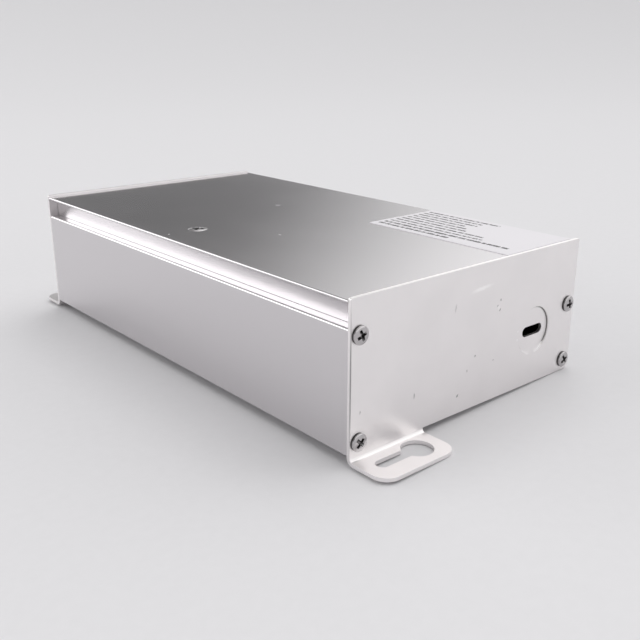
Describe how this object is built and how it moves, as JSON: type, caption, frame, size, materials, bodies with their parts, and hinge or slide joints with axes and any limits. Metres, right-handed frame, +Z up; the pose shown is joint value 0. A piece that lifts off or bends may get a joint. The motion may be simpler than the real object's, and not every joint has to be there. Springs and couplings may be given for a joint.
{
  "type": "led power supply",
  "caption": "Flat LED power supply in an extruded aluminium case with a slide-in lid, folded end plates, keyhole feet and conduit knockouts.",
  "frame": {"origin": "centre of the footprint, on the plane of the feet's undersides", "axes": "+Y along the case from the front end plate to the rear one, +Z up out of the lid, -X towards the side with the feet"},
  "size_m": [0.14, 0.297, 0.0661],
  "materials": {
    "anodised_aluminium": "clear anodised, extruded",
    "plate_aluminium": "mill-finished sheet",
    "screw_steel": "nickel-plated",
    "label_film": "matt",
    "insulating_paper": "matt",
    "board_laminate": "solder-masked",
    "standoff_brass": "turned",
    "silicone_pad": "matt",
    "black_epoxy": "moulded",
    "block_nylon": "moulded",
    "blue_epoxy": "dipped",
    "film_capacitor_box": "moulded",
    "ferrite": "sintered",
    "iron_powder_core": "coated",
    "copper_wire": "enamelled",
    "bobbin_resin": "moulded",
    "winding_tape": "wrapped",
    "capacitor_sleeve": "shrunk sleeve",
    "red_epoxy": "dipped",
    "white_epoxy": "moulded"
  },
  "bodies": {
    "root": {"base_channel": "anodised_aluminium", "lid": "anodised_aluminium", "front_end_plate": "plate_aluminium", "rear_end_plate": "plate_aluminium", "front_plate_screws": "screw_steel", "rear_plate_screws": "screw_steel", "lid_screw": "screw_steel", "label": "label_film", "insulating_sheet": "insulating_paper", "circuit_board": "board_laminate", "earth_standoff": "standoff_brass", "earth_screw": "screw_steel", "heat_spreader": "plate_aluminium", "thermal_pad": "silicone_pad", "insulator_strip": "silicone_pad", "bridge_rectifier": "black_epoxy", "power_transistors": "black_epoxy", "output_rectifiers": "black_epoxy", "clamp_bar": "screw_steel", "clamp_screws": "screw_steel", "input_terminal_block": "block_nylon", "input_terminal_screws": "screw_steel", "fuse": "block_nylon", "varistor": "blue_epoxy", "thermistor": "black_epoxy", "filter_capacitors": "film_capacitor_box", "filter_choke_cores": "ferrite", "filter_choke_windings": "copper_wire", "boost_core": "ferrite", "boost_bobbin": "bobbin_resin", "boost_winding": "copper_wire", "bulk_capacitors": "capacitor_sleeve", "transformer_core": "ferrite", "transformer_bobbin": "bobbin_resin", "transformer_winding": "winding_tape", "resonant_capacitor": "red_epoxy", "safety_capacitors": "blue_epoxy", "control_board": "board_laminate", "control_chips": "black_epoxy", "optocouplers": "white_epoxy", "output_choke_core": "iron_powder_core", "output_choke_winding": "copper_wire", "output_capacitors": "capacitor_sleeve", "output_terminal_block": "block_nylon", "output_terminal_screws": "screw_steel"}
  },
  "joints": []
}
